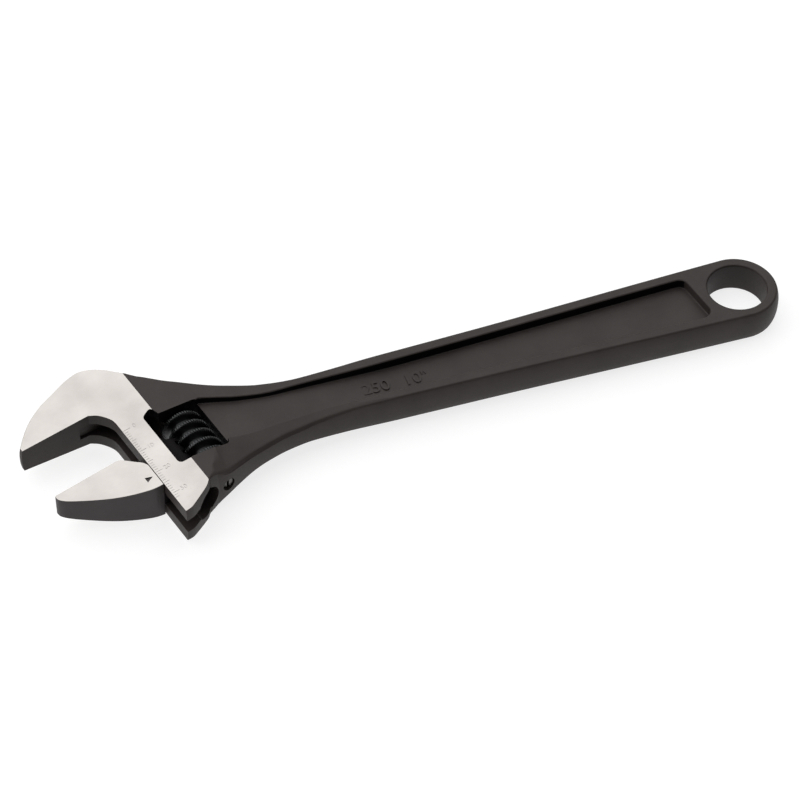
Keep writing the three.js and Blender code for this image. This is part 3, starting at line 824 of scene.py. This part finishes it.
PIN_R, PIN_TOP, PIN_BOTTOM = 2.0, 6.4, 42.6
SCREW_SLOT_HALF, SCREW_SLOT_DEPTH = 0.4, 1.1
pin_profile = [
    (0, PIN_TOP), (PIN_R - 0.4, PIN_TOP), (PIN_R, PIN_TOP + 0.4), (PIN_R, PIN_BOTTOM - 0.35),
    (PIN_R - 0.1, PIN_BOTTOM - 0.12), (PIN_R - 0.35, PIN_BOTTOM), (0, PIN_BOTTOM)]
screw_slot = block(
    KNURL_A - SCREW_SLOT_HALF, KNURL_A + SCREW_SLOT_HALF, PIN_BOTTOM - SCREW_SLOT_DEPTH, FAR, -5, 5)
pin = thing("pin_slotted", lathe(pin_profile, KNURL_A, 48), HEAD, [PIN_STEEL])
carve(pin, [("DIFFERENCE", thing("slot", screw_slot, HEAD))])
finish_edges(pin)

# ---- spring: the CAD coil, shaded smooth ---------------------------------------------------------

spring = frame["nodes"]["knurl_spring"]
spring.data.materials.clear()
spring.data.materials.append(WIRE)
spring.data.shade_smooth()

# ---- pieces to bodies ----------------------------------------------------------------------------

for piece, node, body_name, slot_name in (
    (body, "body", "frame", "forged_black"),
    (jaw, "movable_jaw", "jaw", "ground_steel"),
    (knurl, "knurl", "worm", "black_oxide"),
    (pin, "knurl_pin", "frame", "bright_steel"),
):
    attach(piece, body_name)
    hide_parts(node)
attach(spring, "frame")

# ---- floor, light and camera ---------------------------------------------------------------------

# The head is thicker than the handle, so the tool lies on the neck's lower ridge and the handle's end.
low, high = CAD_BOX
RIDGE_S = 43          # near the ridge's end along the rail, which touches the floor first
FLOOR_SIZE = 4
PAPER_GREYS = (0.29, 0.29, 0.29), (0.31, 0.31, 0.31)
PAPER_GLOW = 0.78
ridge_x = (HEAD @ Vector((GROUND_EDGE - NECK_RAMP, RIDGE_S, 0))).x
handle_drop = (HEAD_ORIGIN.z - HANDLE_HALF * MM) - low.z
floor_tilt = math.atan2(handle_drop, high.x - ridge_x)
floor = bpy.data.objects.new("floor", bpy.data.meshes.new("floor"))
plane = bmesh.new()
bmesh.ops.create_grid(plane, x_segments=2, y_segments=2, size=FLOOR_SIZE)
plane.to_mesh(floor.data)
plane.free()
floor.rotation_euler = (0, -floor_tilt, 0)
floor.location = (ridge_x, 0, low.z)
bpy.context.scene.collection.objects.link(floor)
paper, paper_bsdf, paper_where = shader("back-lit paper", (0.3, 0.3, 0.3), 0.0, 0.9, 0.1)
fibres = noise(paper, paper_where, 900, 3)
paper.node_tree.links.new(ramp(paper, fibres, *PAPER_GREYS), paper_bsdf.inputs["Base Color"])
paper_bsdf.inputs["Emission Color"].default_value = (1, 1, 1, 1)
paper_bsdf.inputs["Emission Strength"].default_value = PAPER_GLOW
floor.data.materials.append(paper)

WORLD_GLOW = 0.2
world = bpy.data.worlds.new("studio")
world.use_nodes = True
world.node_tree.nodes["Background"].inputs["Color"].default_value = (1, 1, 1, 1)
world.node_tree.nodes["Background"].inputs["Strength"].default_value = WORLD_GLOW
bpy.context.scene.world = world


def softbox(name, centre, size, radiance, target=(0, 0, 0)):
    """A rectangular light of a given brightness, facing the target."""
    light = bpy.data.lights.new(name, "AREA")
    light.shape = "RECTANGLE"
    light.size, light.size_y = size
    light.energy = radiance * math.pi * size[0] * size[1]
    obj = bpy.data.objects.new(name, light)
    obj.location = centre
    obj.rotation_euler = (Vector(target) - Vector(centre)).to_track_quat("-Z", "Y").to_euler()
    bpy.context.scene.collection.objects.link(obj)


softbox("overhead", (-0.2, 1.0, 1.4), (3.8, 3.2), 1.5)
softbox("left", (-2.2, 0.6, 1.2), (1.8, 2.4), 1.0)

# The camera's place is in millimetres from the hanging hole.
CAMERA_FROM_HOLE = Vector((-335.81, -569.77, 678.36))
CAMERA_RIGHT = Vector((0.9408, -0.3389, 0.0170))
CAMERA_FORWARD = Vector((0.2371, 0.6208, -0.7473))
LENS, SENSOR = 127.5, 36
back = -CAMERA_FORWARD.normalized()
above = back.cross(CAMERA_RIGHT.normalized()).normalized()
camera_turn = Matrix((above.cross(back), above, back)).transposed()
camera = bpy.data.objects.new("camera", bpy.data.cameras.new("camera"))
camera.matrix_world = Matrix.Translation(HANDLE @ CAMERA_FROM_HOLE) @ camera_turn.to_4x4()
camera.data.lens = LENS
camera.data.sensor_width = SENSOR
bpy.context.scene.collection.objects.link(camera)
bpy.context.scene.camera = camera
bpy.context.scene.view_settings.view_transform = "Standard"
